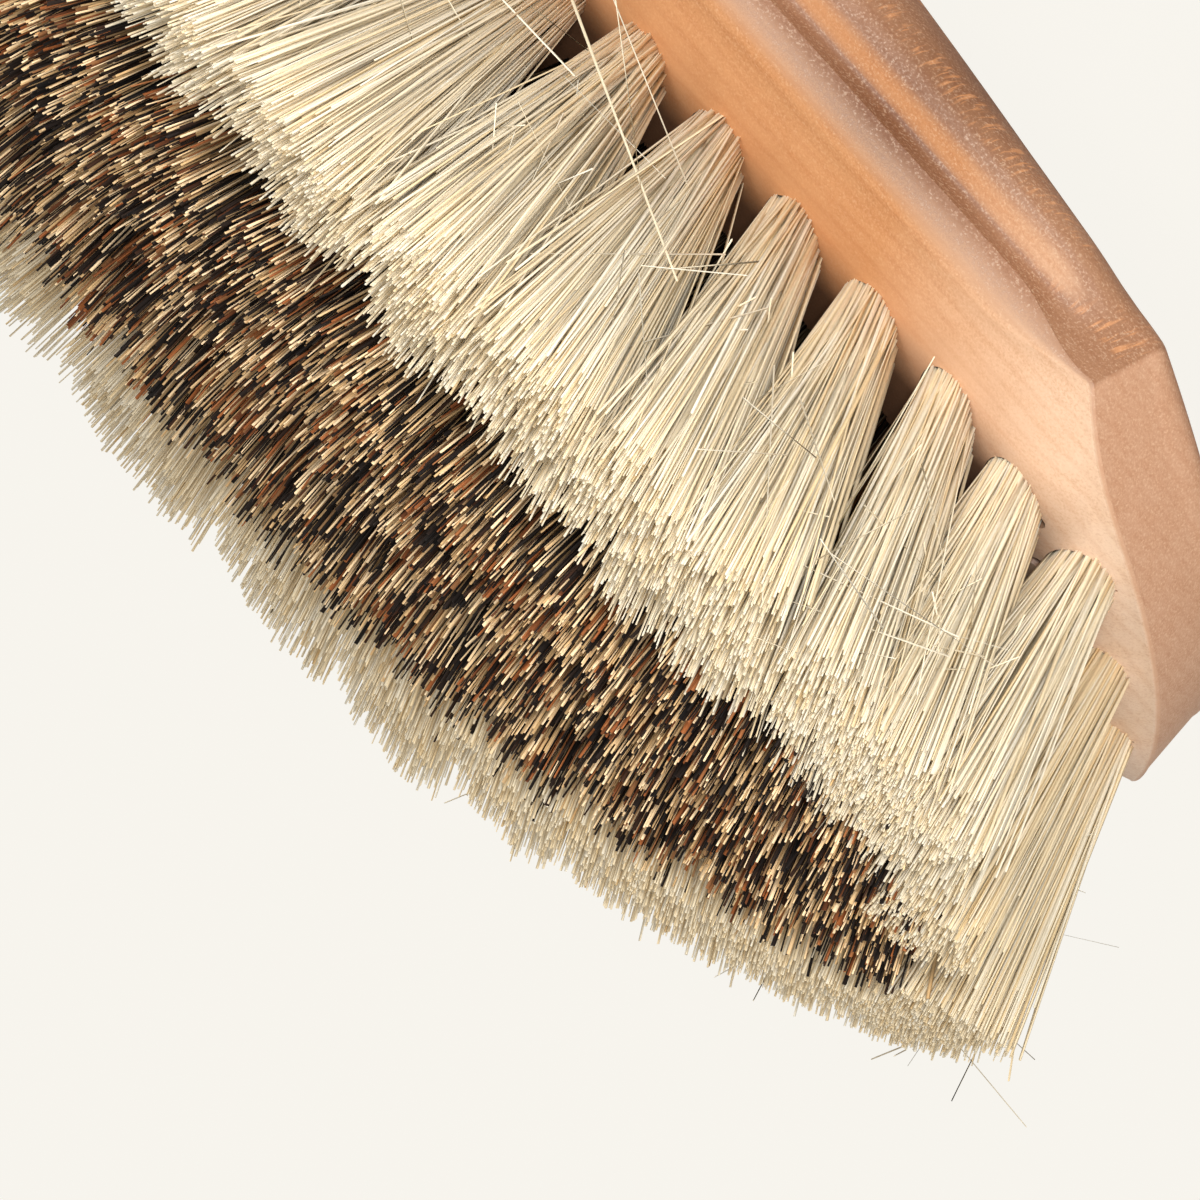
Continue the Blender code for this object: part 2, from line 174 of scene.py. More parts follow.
def rim_lean(x, y):
    """How far a rim tuft rooted here runs along and across for each unit that it rises."""
    bristles = settings().bristles
    along = bristles.rim_end_lean * np.interp(abs(x), *END_LEANS)
    across = bristles.rim_side_lean * np.interp(abs(x), *(NEAR_LEANS if y < 0 else FAR_LEANS)) * abs(y) / rim_row()
    return np.array((math.copysign(along, x), math.copysign(across, y)))


def row_lean(x, row):
    """The same for a tuft of a row in the middle, which stands more upright."""
    bristles = settings().bristles
    along = math.tan(bristles.row_end_lean * end_share(x)) * (1 if row == FAR else 0.85)
    across = math.tan(bristles.row_side_lean * (1.7 if row == FAR else 1)) * (1 - smooth(abs(x) / (100 * MM)))
    return np.array((math.copysign(along, x), across * row))


def trim_height(x, y):
    """Height that the bristles are trimmed to, for numbers or arrays."""
    bristles = settings().bristles
    past = np.maximum(0, np.abs(x) - bristles.trim_level / 2) / bristles.trim_reach
    rim = 1 + 0.8 * (y / (2 * rim_row())) ** 2
    return settings().block.thickness + bristles.height - bristles.trim_drop * past**3 * rim


def rim_row():
    return settings().block.width / 2 - 11 * MM


def rim_places():
    """Name and place of each tuft round the rim."""
    last = settings().block.length / 2 - 23.05 * MM
    end = settings().block.length / 2 - 4.9 * MM
    places = []
    for side, across in (("near", -rim_row()), ("far", rim_row())):
        for number in range(15):
            places.append((f"{side}_tuft_{number + 1:02d}", number * last / 7 - last, across))
    for side, way in (("left", -1), ("right", 1)):
        for number, (along, across) in enumerate(((0.53, -0.91), (0.94, -0.65), (1, 0), (0.94, 0.65), (0.53, 0.91))):
            places.append((f"{side}_end_tuft_{number + 1}", way * (last + along * (end - last)), across * rim_row()))
    return places


def row_places(row):
    """Places of the tufts of one of the three rows in the middle."""
    last = settings().block.length / 2 - 23.05 * MM
    end = settings().block.length / 2 - 4.9 * MM
    share, count = (0.45, 17) if row == MIDDLE else (0.2, 16)
    reach = last + share * (end - last)
    return [(reach * (2 * number / (count - 1) - 1), 0.47 * rim_row() * row) for number in range(count)]


# Small modelling helpers


def deselect():
    if bpy.context.mode != "OBJECT":
        bpy.ops.object.mode_set(mode="OBJECT")
    bpy.ops.object.select_all(action="DESELECT")


def only(piece):
    deselect()
    piece.select_set(True)
    bpy.context.view_layer.objects.active = piece


def named(name):
    """The active object, renamed with its mesh."""
    piece = bpy.context.object
    piece.name = name
    piece.data.name = name
    return piece


def settle(piece):
    """Puts the piece's place into its mesh."""
    only(piece)
    bpy.ops.object.transform_apply(location=True, rotation=True, scale=True)


def remove(piece):
    deselect()
    bpy.data.objects.remove(piece)


# The block


def outline_stations():
    """Stations round the outline: one from 0 at mid side over 1 and 2 at the corner to 3 at the end, and its mirror."""
    quarter = [1 - (1 - step / 60) ** 1.15 for step in range(60)]
    quarter += [1 + step / 8 for step in range(8)]
    quarter += [2 + step / 18 for step in range(19)]
    right = [(station, (1, 1)) for station in quarter]
    right += [(station, (1, -1)) for station in reversed(quarter[:-1])]
    return right + [(station, (-1, across)) for station, (_, across) in reversed(right[1:-1])]


def outline_place(station, mirror, inset):
    """Place of a station on the outline when this is drawn in by the inset."""
    block = settings().block
    rounding = block.corner_round
    full = radius_over(block.width / 2, block.end_bulge)
    origin = block.length / 2 - full
    half = block.width / 2 - inset - rounding
    radius = full - inset
    centre = origin + math.sqrt((radius - rounding) ** 2 - half**2)
    turn = math.atan2(half, centre - origin)
    if station < 1:
        x, y = centre * math.sin(math.pi / 2 * station), -half - rounding
    elif station < 2:
        angle = math.pi / 2 + (turn - math.pi / 2) * (station - 1)
        x, y = centre + rounding * math.cos(angle), -half - rounding * math.sin(angle)
    else:
        angle = turn * (3 - station)
        x, y = origin + radius * math.cos(angle), -radius * math.sin(angle)
    return mirror[0] * x, mirror[1] * y


def side_levels(lip, base, groove, edge):
    """Heights and insets of the wall from under the lip's round to the edge of the back, for a share of the groove."""
    block = settings().block
    foot = lip - block.groove_drop - block.groove_height / 2
    belly = base + 0.75 * (foot - base)
    levels = []
    for step in range(9):
        share = 1 - step / 8
        depth = block.groove_depth * math.sin(math.pi * share) ** 1.2
        levels.append((foot + share * (lip - edge - foot), depth - (1 - share) * 0.3 * block.belly))
    for step in range(1, 4):
        share = step / 4
        levels.append((foot + share * (belly - foot), -block.belly * (0.3 + 0.7 * math.sin(math.pi / 2 * share))))
    for step in range(11):
        turn = math.pi / 2 * step / 10
        inset = (1 - math.cos(turn)) * (block.back_inset + block.belly) - block.belly
        levels.append((base + (belly - base) * (1 - math.sin(turn)), inset))
    result = []
    for height, inset in levels:
        turn = math.asin(min(1, max(0, (belly - height) / (belly - base))))
        start = (lip - max(height, belly)) * math.tan(block.end_taper)
        plain = start + (1 - math.cos(turn)) * (block.end_back_inset - start)
        result.append((height, groove * inset + (1 - groove) * plain))
    return result


def station_line(station, mirror):
    """The points of the block's skin under one station, from the middle line of the face round to that of the back."""
    block = settings().block
    groove = smooth((1 - math.sin(math.pi / 2 * min(station, 1))) * block.length / 2 / block.groove_fade)
    edge = block.arris_round + groove * (block.lip_round - block.arris_round)
    inner = outline_place(station, mirror, edge)
    line = []
    for step in range(17):
        share = step / 16
        shrink = 1 - (1 - share) * 0.2
        x, y = inner[0] * shrink, inner[1] * share
        line.append((x, y, float(face_height(x, y))))
    lip = float(face_height(*outline_place(station, mirror, 0)))
    for step in range(1, 6):
        turn = math.pi / 2 * step / 5
        place = outline_place(station, mirror, edge * (1 - math.sin(turn)))
        line.append((*place, line[16][2] + (lip - edge - line[16][2]) * (1 - math.cos(turn))))
    reach = block.end_back_inset + groove * (block.back_inset - block.end_back_inset)
    base = back_height(outline_place(station, mirror, reach)[0])
    for height, inset in side_levels(lip, base, groove, edge):
        line.append((*outline_place(station, mirror, inset), height))
    x, y, _ = line[-1]
    for share in (0.66, 0.33, 0):
        along = x * (1 - (1 - share) * 0.2)
        line.append((along, y * share, back_height(along)))
    return line


def wrap_block():
    """A grid wrapped round the block: its columns are the stations and its rows run from the face to the back."""
    stations = outline_stations()
    lines = [station_line(*station) for station in stations + stations[:1]]
    columns, rows = len(lines), len(lines[0])
    deselect()
    bpy.ops.mesh.primitive_grid_add(x_subdivisions=columns - 1, y_subdivisions=rows - 1, size=2)
    block = named("block_body")
    for vert in block.data.vertices:
        column = round((vert.co.x + 1) / 2 * (columns - 1))
        row = round((vert.co.y + 1) / 2 * (rows - 1))
        vert.co = lines[column][row]
    bpy.ops.object.mode_set(mode="EDIT")
    bpy.ops.mesh.select_all(action="SELECT")
    bpy.ops.mesh.remove_doubles(threshold=0.01 * MM)
    bpy.ops.mesh.normals_make_consistent(inside=False)
    bpy.ops.object.mode_set(mode="OBJECT")
    return block


def hole_frame(x, y, lean):
    """A frame on the face whose Z axis runs up a tilted hole."""
    up = Vector((*(0.6 * lean), 1)).normalized()
    across = up.cross(Vector((1, 0, 0))).normalized()
    turn = Matrix((across.cross(up), across, up)).transposed()
    return Matrix.Translation((x, y, float(face_height(x, y)))) @ turn.to_4x4()


def drill_bits():
    """One drill for each hole, and the two small bites that an anchor leaves beside each rim hole."""
    block = settings().block
    drills = []
    places = [(x, y, rim_lean(x, y), True) for _, x, y in rim_places()]
    for row in (NEAR, MIDDLE, FAR):
        places += [(x, y, row_lean(x, row), False) for x, y in row_places(row)]
    deselect()
    bpy.ops.mesh.primitive_cylinder_add(vertices=28, radius=block.hole_radius, depth=block.hole_depth + 8 * MM)
    drill = named("drill")
    drill.data.transform(Matrix.Translation((0, 0, 4 * MM - block.hole_depth / 2)))
    deselect()
    bpy.ops.mesh.primitive_cone_add(vertices=10, radius1=0.1 * MM, radius2=0.75 * MM, depth=1.9 * MM)
    bite = named("bite")
    bite.data.transform(Matrix.Translation((0, 0, -0.1 * MM)))
    bite.data.transform(Matrix.Diagonal((1.2, 0.8, 1, 1)))
    for x, y, lean, rim in places:
        place = hole_frame(x, y, lean)
        copies = [(drill, place)]
        if rim:
            reach = block.hole_radius + 0.5 * MM
            copies += [(bite, place @ Matrix.Translation((side * reach, 0, 0))) for side in (-1, 1)]
        for source, matrix in copies:
            copy = bpy.data.objects.new("bit", source.data.copy())
            copy.data.transform(matrix)
            bpy.context.scene.collection.objects.link(copy)
            drills.append(copy)
    remove(drill)
    remove(bite)
    return drills


def drill_block(block):
    """Drills the block with each bit. The bites overlap the holes, so they are cut in a round of their own."""
    drills = drill_bits()
    holes = [bit for bit in drills if len(bit.data.vertices) > 40]
    bites = [bit for bit in drills if len(bit.data.vertices) <= 40]
    for group in (holes, bites):
        deselect()
        for bit in group:
            bit.select_set(True)
        bpy.context.view_layer.objects.active = group[0]
        bpy.ops.object.join()
        tool = bpy.context.object
        only(block)
        cut = block.modifiers.new("drilled", "BOOLEAN")
        cut.operation = "DIFFERENCE"
        cut.object = tool
        cut.solver = "EXACT"
        bpy.ops.object.modifier_apply(modifier=cut.name)
        remove(tool)


# Fibres


def strand_pattern(sides, steps):
    """One strand, modelled once: a thin open cone cut into steps. Gives each point's turn and its step, and the faces."""
    deselect()
    bpy.ops.mesh.primitive_cone_add(vertices=sides, radius1=1, radius2=1, depth=1, end_fill_type="NGON")
    strand = named("strand")
    bpy.ops.object.mode_set(mode="EDIT")
    shape = bmesh.from_edit_mesh(strand.data)
    for edge in shape.edges:
        low, high = (vert.co.z for vert in edge.verts)
        edge.select_set(abs(low - high) > 0.5)
    shape.select_flush(False)
    bmesh.update_edit_mesh(strand.data)
    bpy.ops.mesh.subdivide(number_cuts=steps - 1)
    bpy.ops.object.mode_set(mode="OBJECT")
    turns = np.array([math.atan2(vert.co.y, vert.co.x) for vert in strand.data.vertices])
    levels = np.array([round((vert.co.z + 0.5) * steps) for vert in strand.data.vertices])
    faces = [list(face.vertices) for face in strand.data.polygons]
    remove(strand)
    return turns, levels, faces


def strands_piece(name, pattern, paths, widths, flats, tones):
    """Copies the strand pattern along each path into one mesh, with each strand's tone and way along it as attributes."""
    turns, levels, faces = pattern
    count, steps = paths.shape[:2]
    along = np.gradient(paths, axis=1)
    along /= np.linalg.norm(along, axis=2, keepdims=True)
    reference = np.zeros_like(along)
    reference[..., 0] = np.cos(tones * 97)[:, None]
    reference[..., 1] = np.sin(tones * 97)[:, None]
    across = np.cross(along, reference)
    across /= np.linalg.norm(across, axis=2, keepdims=True)
    upright = np.cross(across, along)
    points = paths[:, levels]
    points = points + (widths[:, levels] * np.cos(turns))[..., None] * across[:, levels] / 2
    points = points + (widths[:, levels] * flats[:, None] * np.sin(turns))[..., None] * upright[:, levels] / 2
    size = len(turns)
    corners = []
    totals = []
    for face in faces:
        corners += face
        totals.append(len(face))
    corners = (np.array(corners)[None] + size * np.arange(count)[:, None]).ravel()
    totals = np.tile(totals, count)
    mesh = bpy.data.meshes.new(name)
    mesh.vertices.add(count * size)
    mesh.vertices.foreach_set("co", points.astype(np.float32).ravel())
    mesh.loops.add(len(corners))
    mesh.loops.foreach_set("vertex_index", corners.astype(np.int32))
    mesh.polygons.add(len(totals))
    mesh.polygons.foreach_set("loop_start", np.concatenate(([0], np.cumsum(totals)[:-1])).astype(np.int32))
    mesh.update(calc_edges=True)
    tone = mesh.attributes.new("tone", "FLOAT", "POINT")
    tone.data.foreach_set("value", np.repeat(tones, size).astype(np.float32))
    way = mesh.attributes.new("way", "FLOAT", "POINT")
    way.data.foreach_set("value", np.tile(levels / levels.max(), count).astype(np.float32))
    piece = bpy.data.objects.new(name, mesh)
    bpy.context.scene.collection.objects.link(piece)
    only(piece)
    bpy.ops.object.mode_set(mode="EDIT")
    bpy.ops.mesh.select_all(action="SELECT")
    bpy.ops.mesh.normals_make_consistent(inside=False)
    bpy.ops.object.mode_set(mode="OBJECT")
    bpy.ops.object.shade_smooth()
    return piece


def disc(count, chance):
    """Evenly scattered points of the unit disc."""
    radius = np.sqrt((np.arange(count) + 0.5) / count)
    turn = np.arange(count) * 2.399963 + chance.uniform(0, 6.28)
    points = np.stack((radius * np.cos(turn), radius * np.sin(turn)), axis=1)
    return points + chance.normal(0, 0.035, points.shape)


def tuft_paths(x, y, lean, count, core, steps, chance, spread, loose, locks, drift, bow, cut):
    """Paths of a tuft's fibres, fanned out from the hole to the trim in locks that lean a little past each other.

    The first few are the thick ones in its core, which end below the others.
    """
    place = hole_frame(x, y, lean)
    axis = np.array(place.to_3x3().col[2])
    sides = np.array([place.to_3x3().col[0], place.to_3x3().col[1]])
    root = np.array(place.translation)
    middle = root.copy()
    for _ in range(12):
        rise = float(trim_height(middle[0], middle[1])) - root[2]
        middle = root + rise * np.array((*lean, 1))
    cells = disc(count - core, chance)
    centres = disc(locks, chance)
    near = np.argmin(np.linalg.norm(cells[:, None] - centres[None], axis=2), axis=1)
    opened = cells + 0.4 * (centres[near] - cells) + chance.normal(0, drift, (locks, 2))[near]
    filling = 0.72 * disc(core, chance)
    cells = np.concatenate((filling, cells))
    opened = np.concatenate((filling, opened))
    roots = root + 0.95 * settings().block.hole_radius * cells @ sides - 2.5 * MM * axis
    tips = np.empty((count, 3))
    tips[:, :2] = middle[:2] + opened * spread + chance.normal(0, 1, (count, 2)) * loose[:, None]
    tips[:, 2] = trim_height(tips[:, 0], tips[:, 1])
    rises = (middle - root) * (1 - cut)[:, None]
    opening = (tips - roots) * (1 - cut)[:, None] - rises
    way = np.linspace(0, 1, steps + 1)[None, :, None]
    first = axis * np.linalg.norm(rises, axis=1, keepdims=True)
    ease = (1 - way) ** 2 * 0.85
    paths = roots[:, None] + (rises[:, None] * (1 - ease) + first[:, None] * ease) * way + opening[:, None] * way**2.3
    bend = chance.normal(0, 1, (count, 1, 3)) * bow[:, None, None]
    return paths + bend * np.sin(np.pi * way * chance.uniform(0.7, 2.1, (count, 1, 1)))


def keep_trim(paths):
    """Pulls back any point that stands over the trim."""
    over = paths[..., 2] - trim_height(paths[..., 0], paths[..., 1])
    paths[..., 2] -= np.maximum(over, 0)
    return paths


def finish(piece, material, slot, *nodes):
    """Gives a piece its material, its body and the nodes that it stands for. The slot is not used."""
    piece.data.materials.clear()
    piece.data.materials.append(material)
    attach(piece, "root")
    if nodes:
        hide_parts(*nodes)


# Materials


class Tree:
    """Adds nodes to a tree in short calls."""

    def __init__(self, tree):
        self.tree = tree

    def add(self, kind, **values):
        node = self.tree.nodes.new(kind)
        for key, value in values.items():
            setattr(node, key, value)
        return node

    def link(self, source, target):
        self.tree.links.new(source, target)
        return target.node

    def put(self, socket, value):
        if isinstance(value, bpy.types.NodeSocket):
            self.link(value, socket)
        elif value is not None:
            socket.default_value = value

    def maths(self, operation, first, second=None, third=None):
        node = self.add("ShaderNodeMath", operation=operation)
        for socket, value in zip(node.inputs, (first, second, third)):
            self.put(socket, value)
        return node.outputs[0]

    def mix(self, share, first, second, blend="MIX"):
        node = self.add("ShaderNodeMix", data_type="RGBA", blend_type=blend)
        for socket, value in zip((node.inputs[0], node.inputs[6], node.inputs[7]), (share, first, second)):
            self.put(socket, value)
        return node.outputs[2]

    def ramp(self, value, *stops):
        node = self.add("ShaderNodeValToRGB")
        while len(node.color_ramp.elements) < len(stops):
            node.color_ramp.elements.new(1)
        for element, (place, colour) in zip(node.color_ramp.elements, stops):
            element.position = place
            element.color = (*colour, 1) if len(colour) == 3 else colour
        self.put(node.inputs[0], value)
        return node.outputs[0]

    def span(self, value, low, high, to_low=0, to_high=1):
        node = self.add("ShaderNodeMapRange")
        for socket, number in zip(node.inputs, (value, low, high, to_low, to_high)):
            self.put(socket, number)
        return node.outputs[0]

    def noise(self, vector, scale, stretch=(1, 1, 1), detail=2, rough=0.5, warp=0):
        mapping = self.add("ShaderNodeMapping")
        mapping.inputs["Scale"].default_value = stretch
        self.link(vector, mapping.inputs[0])
        node = self.add("ShaderNodeTexNoise")
        self.link(mapping.outputs[0], node.inputs["Vector"])
        node.inputs["Scale"].default_value = scale
        node.inputs["Detail"].default_value = detail
        node.inputs["Roughness"].default_value = rough
        node.inputs["Distortion"].default_value = warp
        return node.outputs[0]

    def place(self):
        return self.add("ShaderNodeTexCoord").outputs["Object"]


def grey(value):
    return (value, value, value)


def new_group(name, inputs, outputs):
    tree = bpy.data.node_groups.new(name, "ShaderNodeTree")
    for label, kind, value in inputs:
        socket = tree.interface.new_socket(name=label, in_out="INPUT", socket_type=kind)
        socket.default_value = value
    for label, kind in outputs:
        tree.interface.new_socket(name=label, in_out="OUTPUT", socket_type=kind)
    build = Tree(tree)
    return build, build.add("NodeGroupInput"), build.add("NodeGroupOutput")


def fibre_group():
    """Shade along a fibre: darker in the depth of the tuft, paler at its cut tip, with fine streaks."""
    build, given, out = new_group(
        "Fibre shade",
        [
            ("Colour", "NodeSocketColor", (0.8, 0.7, 0.5, 1)),
            ("Root shade", "NodeSocketFloat", 0.5),
            ("Shade end", "NodeSocketFloat", 0.45),
            ("Tip light", "NodeSocketFloat", 0.2),
            ("Middle shade", "NodeSocketFloat", 0.0),
        ],
        [("Colour", "NodeSocketColor"), ("Roughness", "NodeSocketFloat")],
    )
    way = build.add("ShaderNodeAttribute", attribute_name="way").outputs["Fac"]
    root = build.span(way, 0.06, given.outputs["Shade end"], 1, 0)
    shade = build.maths("SUBTRACT", 1, build.maths("MULTIPLY", root, given.outputs["Root shade"]))
    hump = build.maths("MULTIPLY", build.span(way, 0.1, 0.4), build.span(way, 1, 0.75))
    shade = build.maths("SUBTRACT", shade, build.maths("MULTIPLY", hump, given.outputs["Middle shade"]))
    darkened = build.mix(1, given.outputs["Colour"], build.ramp(shade, (0, grey(0)), (1, grey(1))), "MULTIPLY")
    tip = build.maths("MULTIPLY", build.span(way, 0.93, 0.97), given.outputs["Tip light"])
    streak = build.noise(build.place(), 2600, (1, 1, 0.12), 2, 0.6)
    tinted = build.mix(build.span(streak, 0.35, 0.7, 0, 0.3), darkened, build.mix(1, darkened, (0.82, 0.74, 0.60, 1), "MULTIPLY"))
    pale = build.mix(1, tinted, (1.6, 1.55, 1.5, 1), "MULTIPLY")
    build.link(build.mix(tip, tinted, pale), out.inputs["Colour"])
    build.link(build.span(streak, 0.3, 0.7, 0.5, 0.7), out.inputs["Roughness"])
    return build.tree


def grey_colour(value):
    return (value, value, value, 1)


def new_material(name):
    material = bpy.data.materials.new(name)
    material.use_nodes = True
    build = Tree(material.node_tree)
    return material, build, material.node_tree.nodes["Principled BSDF"]


def pale_fibre_material(group):
    colours = settings().colours
    material, build, shader = new_material("pale plant fibre")
    tone = build.add("ShaderNodeAttribute", attribute_name="tone").outputs["Fac"]
    colour = build.ramp(
        tone,
        (0.0, (0.66, 0.43, 0.19)),
        (0.12, tuple(colours.straw)),
        (0.4, (0.98, 0.81, 0.54)),
        (0.7, tuple(colours.ivory)),
        (1.0, (0.99, 0.92, 0.77)),
    )
    shade = build.add("ShaderNodeGroup", node_tree=group)
    build.link(colour, shade.inputs["Colour"])
    shade.inputs["Root shade"].default_value = 0
    shade.inputs["Tip light"].default_value = 0
    shade.inputs["Middle shade"].default_value = 0.25
    build.link(shade.outputs["Colour"], shader.inputs["Base Color"])
    build.link(shade.outputs["Roughness"], shader.inputs["Roughness"])
    shader.inputs["Specular IOR Level"].default_value = 0.25
    return material


def brown_fibre_material(group):
    material, build, shader = new_material("brown plant fibre")
    tone = build.add("ShaderNodeAttribute", attribute_name="tone").outputs["Fac"]
    colour = build.ramp(
        tone,
        (0.0, (0.008, 0.007, 0.007)),
        (0.25, (0.020, 0.013, 0.010)),
        (0.34, (0.06, 0.025, 0.013)),
        (0.44, (0.13, 0.045, 0.018)),
        (0.54, (0.34, 0.115, 0.038)),
        (0.64, (0.19, 0.125, 0.063)),
        (0.82, (0.62, 0.42, 0.21)),
        (1.0, (0.95, 0.75, 0.49)),
    )
    shade = build.add("ShaderNodeGroup", node_tree=group)
    build.link(colour, shade.inputs["Colour"])
    shade.inputs["Root shade"].default_value = 0.93
    shade.inputs["Shade end"].default_value = 0.66
    shade.inputs["Tip light"].default_value = 1
    build.link(shade.outputs["Colour"], shader.inputs["Base Color"])
    build.link(shade.outputs["Roughness"], shader.inputs["Roughness"])
    shader.inputs["Specular IOR Level"].default_value = 0.12
    return material


def wood_material():
    """Waxed beech: fine wavy speckle on the face, ray flecks on the belly, end grain on the end walls. Painted shade
    darkens the side walls, a patch along them, the finger groove and the face between the tufts; a painted highlight
    lightens the rolled lip.
    """
    colours = settings().colours
    block = settings().block
    material, build, shader = new_material("waxed beech")
    place = build.place()
    split = build.add("ShaderNodeSeparateXYZ")
    build.link(place, split.inputs[0])
    x, y, z = split.outputs
    fine = build.noise(place, 4600, (0.75, 1, 1), 2, 0.6, 0.4)
    mottle = build.noise(place, 420, (0.5, 1.5, 1.5), 3, 0.55, 0.5)
    broad = build.noise(place, 55, (0.35, 1.5, 1.5), 3, 0.5, 0.3)
    ticks = build.noise(place, 1000, (2.3, 0.35, 0.35), 2, 0.5, 0.25)
    bands = build.noise(place, 130, (0.12, 1.4, 1.4), 2, 0.5, 0.2)
    past = build.maths("ABSOLUTE", x)
    across = build.maths("ABSOLUTE", y)
    normal = build.add("ShaderNodeSeparateXYZ")
    build.link(build.add("ShaderNodeNewGeometry").outputs["Normal"], normal.inputs[0])
    up = build.span(normal.outputs[2], 0.3, 0.85)
    side = build.maths("SUBTRACT", 1, up)
    # Paler wood towards the ends of the face.
    palest = build.span(past, block.length / 2 - 36 * MM, block.length / 2 - 4 * MM)
    lip = build.span(across, 18 * MM, 26 * MM)
    colour = build.mix(palest, (*colours.wood, 1), (*colours.wood_pale, 1))
    end = build.span(build.maths("ABSOLUTE", normal.outputs[0]), 0.45, 0.8)
    # Painted shade: a darker patch on the side walls, part way from the middle to each end.
    shade_patch = build.maths("MULTIPLY", build.span(past, 44 * MM, 58 * MM), build.span(past, 76 * MM, 62 * MM))
    shaded_flank = build.mix(shade_patch, (*colours.shaded_flank, 1), (0.67 * colours.shaded_flank[0], 0.58 * colours.shaded_flank[1], 0.48 * colours.shaded_flank[2], 1))
    shaded_flank = build.mix(end, shaded_flank, (*colours.end_wall, 1))
    # Painted shade: walls that turn away from the face take the darker flank colour.
    colour = build.mix(side, colour, shaded_flank)
    # Painted shade in the finger groove: the wall is darkened round the groove's middle height, fading out towards the
    # ends.
    dip = build.maths("ABSOLUTE", build.maths("SUBTRACT", z, block.thickness - block.crown_drop - block.groove_drop))
    groove = build.span(dip, 0, block.groove_height * 0.8, 1, 0)
    groove = build.maths("MULTIPLY", groove, build.span(past, 55 * MM, 92 * MM, 0.8, 0))
    groove = build.maths("MULTIPLY", groove, side)
    colour = build.mix(groove, colour, build.mix(1, colour, (0.82, 0.78, 0.78, 1), "MULTIPLY"))
    rings = build.add("ShaderNodeMath", operation="SINE")
    slant = build.maths("ADD", build.maths("MULTIPLY", y, 1500), build.maths("MULTIPLY", z, 4200))
    warped = build.maths("ADD", slant, build.maths("MULTIPLY", broad, 14))
    build.link(warped, rings.inputs[0])
    ring = build.span(rings.outputs[0], 0.4, 1, 0, 0.22)
    colour = build.mix(ring, colour, build.mix(1, colour, (0.80, 0.66, 0.55, 1), "MULTIPLY"))
    colour = build.mix(build.span(broad, 0.4, 0.66, 0, 0.3), colour, build.mix(1, colour, (0.88, 0.76, 0.64, 1), "MULTIPLY"))
    colour = build.mix(build.span(mottle, 0.42, 0.62, 0, 0.25), colour, build.mix(1, colour, (0.86, 0.74, 0.62, 1), "MULTIPLY"))
    grainy = build.maths("MAXIMUM", build.maths("MAXIMUM", side, palest), build.maths("MAXIMUM", lip, 0.25))
    grainy = build.maths("MULTIPLY", grainy, build.span(mottle, 0.3, 0.6, 0.6, 1))
    speck = build.maths("MULTIPLY", build.span(fine, 0.5, 0.66), build.maths("MULTIPLY", grainy, 0.45))
    colour = build.mix(speck, colour, build.mix(1, colour, (0.76, 0.64, 0.54, 1), "MULTIPLY"))
    gleam = build.maths("MULTIPLY", build.span(fine, 0.46, 0.3), build.maths("MULTIPLY", grainy, 0.22))
    colour = build.mix(gleam, colour, (0.93, 0.72, 0.52, 1))
    low = build.maths("SUBTRACT", 1, end)
    ray = build.maths("MULTIPLY", build.span(ticks, 0.54, 0.64), build.span(bands, 0.5, 0.6))
    low = build.maths("MULTIPLY", low, build.span(z, 13 * MM, 12 * MM))
    ray = build.maths("MULTIPLY", ray, build.maths("MULTIPLY", build.maths("MULTIPLY", side, low), 0.35))
    colour = build.mix(ray, colour, (0.80, 0.36, 0.14, 1))
    # Painted highlight: the rolled lip and the arris are lightened, broken up by the fine speckle.
    edge = build.maths("MULTIPLY", build.span(normal.outputs[2], 0.7, 0.5), build.span(normal.outputs[2], -0.05, 0.25))
    edge = build.maths("MULTIPLY", edge, build.span(z, 15 * MM, 16 * MM))
    edge = build.maths("MULTIPLY", edge, build.span(fine, 0.35, 0.6, 0, 0.2))
    colour = build.mix(edge, colour, (0.86, 0.60, 0.40, 1))
    # Painted shade: the face between the tufts is darkened nearly to black, where the tufts shade it.
    inside = build.maths("MULTIPLY", build.span(across, 20 * MM, 15.5 * MM), build.span(past, 97 * MM, 90 * MM))
    inside = build.maths("MULTIPLY", inside, build.span(z, 18 * MM, 19 * MM, 0, 0.95))
    colour = build.mix(inside, colour, (0.10, 0.045, 0.022, 1))
    build.link(colour, shader.inputs["Base Color"])
    build.link(build.span(fine, 0.3, 0.7, 0.42, 0.62), shader.inputs["Roughness"])
    bump = build.add("ShaderNodeBump")
    bump.inputs["Strength"].default_value = 0.3
    bump.inputs["Distance"].default_value = 0.05 * MM
    build.link(fine, bump.inputs["Height"])
    build.link(bump.outputs[0], shader.inputs["Normal"])
    return material


# Operators, one for each group of pieces


class DANDYBRUSH_OT_camera(bpy.types.Operator):
    """Place the camera at the photograph's viewing angle"""

    bl_idname = "dandy_brush.camera"
    bl_label = "Camera"

    def execute(self, context):
        azimuth, elevation, roll = (math.radians(angle) for angle in (-32.65, 15.10, -121.35))
        back = Vector((
            math.sin(azimuth) * math.cos(elevation),
            -math.cos(azimuth) * math.cos(elevation),
            math.sin(elevation),
        ))
        level = Vector((math.cos(azimuth), math.sin(azimuth), 0))
        over = back.cross(level)
        right = math.cos(roll) * level + math.sin(roll) * over
        up = -math.sin(roll) * level + math.cos(roll) * over
        target = Vector((-60 * MM, 0, 10 * MM + settings().block.thickness))
        eye = target - 7.93 * MM * right - 11.86 * MM * up + 1.2 * back
        data = bpy.data.cameras.new("photo camera")
        data.lens = 429.6
        data.sensor_width = 36
        data.clip_start = 0.05
        data.clip_end = 20
        camera = bpy.data.objects.new("photo camera", data)
        camera.matrix_world = Matrix.Translation(eye) @ Matrix((right, up, back)).transposed().to_4x4()
        context.scene.collection.objects.link(camera)
        context.scene.camera = camera
        return {"FINISHED"}


